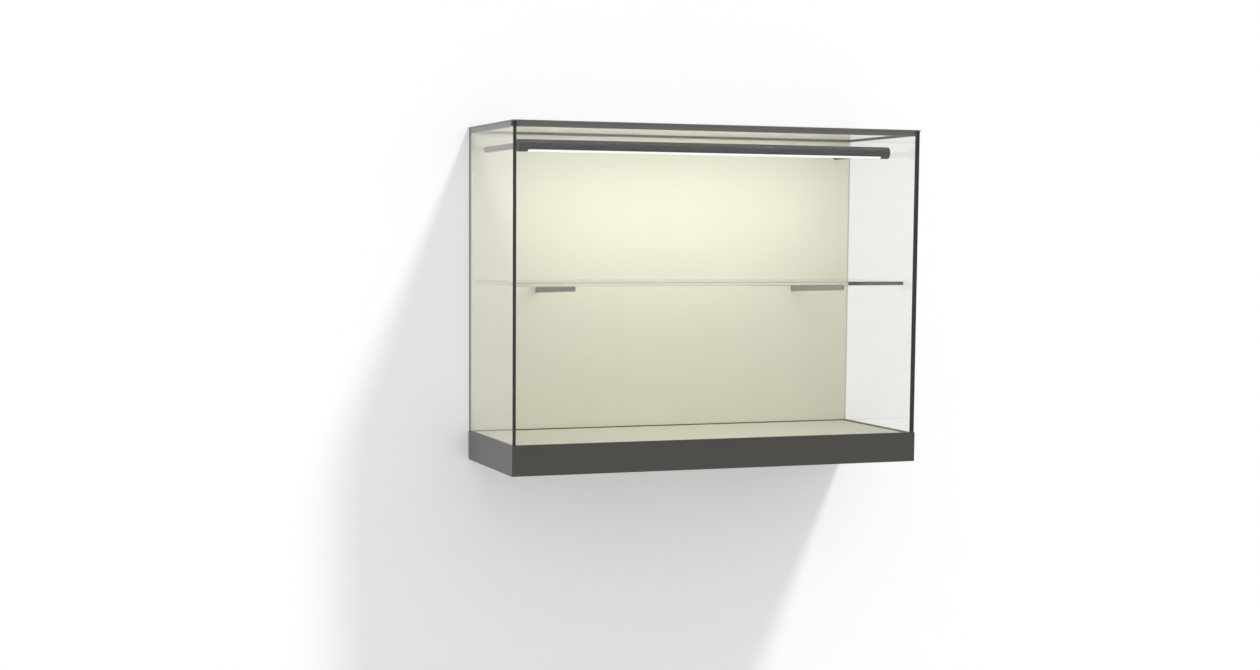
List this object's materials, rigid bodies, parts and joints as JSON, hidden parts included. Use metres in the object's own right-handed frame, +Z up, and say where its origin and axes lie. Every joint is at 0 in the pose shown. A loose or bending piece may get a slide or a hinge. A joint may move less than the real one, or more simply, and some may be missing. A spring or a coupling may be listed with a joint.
{
  "type": "wall mounted showcase",
  "caption": "Wall mounted museum showcase: frameless glass hood that pulls forward off a beige back and deck, with a glass shelf, a tilting light tube and a dark plinth.",
  "frame": {"origin": "centre of the rectangle of four wall fixing holes, on the wall face of the back plate", "axes": "+Y into the wall, +X along the width to the viewer's right, +Z up; the hood pulls off along -Y"},
  "size_m": [1.155, 0.4, 0.9],
  "materials": {
    "clear_glass": "polished laminated glass, clear, with ground edges",
    "shelf_glass": "polished toughened glass with ground arrises",
    "black_silicone": "black structural silicone",
    "grey_seal": "grey foam seal strip",
    "block_rubber": "black setting blocks",
    "frame_paint": "dark grey fine-texture powder coat",
    "board_paint": "matt warm ivory powder coat",
    "bracket_paint": "mid grey powder coat",
    "light_paint": "dark grey satin powder coat",
    "opal_lens": "opal acrylic lens",
    "led_strip": "white LED board",
    "zinc_steel": "zinc plated sheet steel",
    "screw_steel": "zinc plated screws",
    "glide_plastic": "acetal glide strips",
    "clear_pad": "clear soft pads",
    "ribbon_pvc": "flat two-core ribbon",
    "driver_case": "moulded case of the light driver",
    "grommet_rubber": "black cable grommet",
    "lock_chrome": "nickel plated lock barrel",
    "lock_brass": "brass lock plug"
  },
  "bodies": {
    "wall_unit": {"back_plate": "zinc_steel", "back_board": "board_paint", "deck_rear_trim": "frame_paint", "deck_board": "board_paint", "base_tray": "zinc_steel", "tray_screws": "screw_steel", "deck_bearers": "zinc_steel", "runner_fixed_left": "zinc_steel", "runner_fixed_right": "zinc_steel", "runner_screws": "screw_steel", "glass_shelf": "shelf_glass", "shelf_bracket_left": "bracket_paint", "shelf_bracket_right": "bracket_paint", "bracket_screws": "screw_steel", "shelf_pads": "clear_pad", "light_arm_left": "light_paint", "light_arm_right": "light_paint", "light_socket_left": "light_paint", "light_socket_right": "light_paint", "supply_ribbon": "ribbon_pvc", "led_driver": "driver_case", "supply_grommet": "grommet_rubber", "lock_keepers": "zinc_steel"},
    "hood": {"front_pane": "clear_glass", "left_pane": "clear_glass", "right_pane": "clear_glass", "corner_seal_left": "black_silicone", "corner_seal_right": "black_silicone", "rear_seals": "grey_seal", "top_bar_front": "frame_paint", "top_bar_left": "frame_paint", "top_bar_right": "frame_paint", "top_bar_back": "frame_paint", "top_glass": "clear_glass", "top_glazing_seal": "black_silicone", "rail_front": "frame_paint", "rail_left": "frame_paint", "rail_right": "frame_paint", "setting_blocks": "block_rubber", "runner_moving_left": "zinc_steel", "runner_moving_right": "zinc_steel", "runner_carrier_left": "zinc_steel", "runner_carrier_right": "zinc_steel", "carrier_screws": "screw_steel", "lock_brackets": "zinc_steel", "lock_barrel_left": "lock_chrome", "lock_barrel_right": "lock_chrome"},
    "runner_left": {"runner_middle_left": "zinc_steel", "runner_glides_left": "glide_plastic"},
    "runner_right": {"runner_middle_right": "zinc_steel", "runner_glides_right": "glide_plastic"},
    "light": {"light_housing": "light_paint", "light_lens": "opal_lens", "led_board": "led_strip", "light_end_left": "light_paint", "light_end_right": "light_paint"},
    "lock_left": {"lock_plug_left": "lock_brass", "lock_cam_left": "zinc_steel"},
    "lock_right": {"lock_plug_right": "lock_brass", "lock_cam_right": "zinc_steel"}
  },
  "joints": [
    {"name": "hood_slide", "type": "slide", "parent": "wall_unit", "child": "hood", "axis": [0, -1, 0], "range_m": [0, 0.3]},
    {"name": "runner_left_slide", "type": "slide", "parent": "wall_unit", "child": "runner_left", "axis": [0, -1, 0], "range_m": [0, 0.15]},
    {"name": "runner_right_slide", "type": "slide", "parent": "wall_unit", "child": "runner_right", "axis": [0, -1, 0], "range_m": [0, 0.15]},
    {"name": "light_tilt", "type": "hinge", "parent": "wall_unit", "child": "light", "pos_m": [0, -0.295, 0.3755], "axis": [1, 0, 0], "range_deg": [-45, 45]},
    {"name": "lock_left_turn", "type": "hinge", "parent": "hood", "child": "lock_left", "pos_m": [-0.43, -0.376, -0.4655], "axis": [0, 0, -1], "range_deg": [0, 90]},
    {"name": "lock_right_turn", "type": "hinge", "parent": "hood", "child": "lock_right", "pos_m": [0.43, -0.376, -0.4655], "axis": [0, 0, 1], "range_deg": [0, 90]}
  ],
  "couplings": [
    {"joint": "runner_left_slide", "follows": "hood_slide", "ratio": 0.5},
    {"joint": "runner_right_slide", "follows": "hood_slide", "ratio": 0.5}
  ]
}
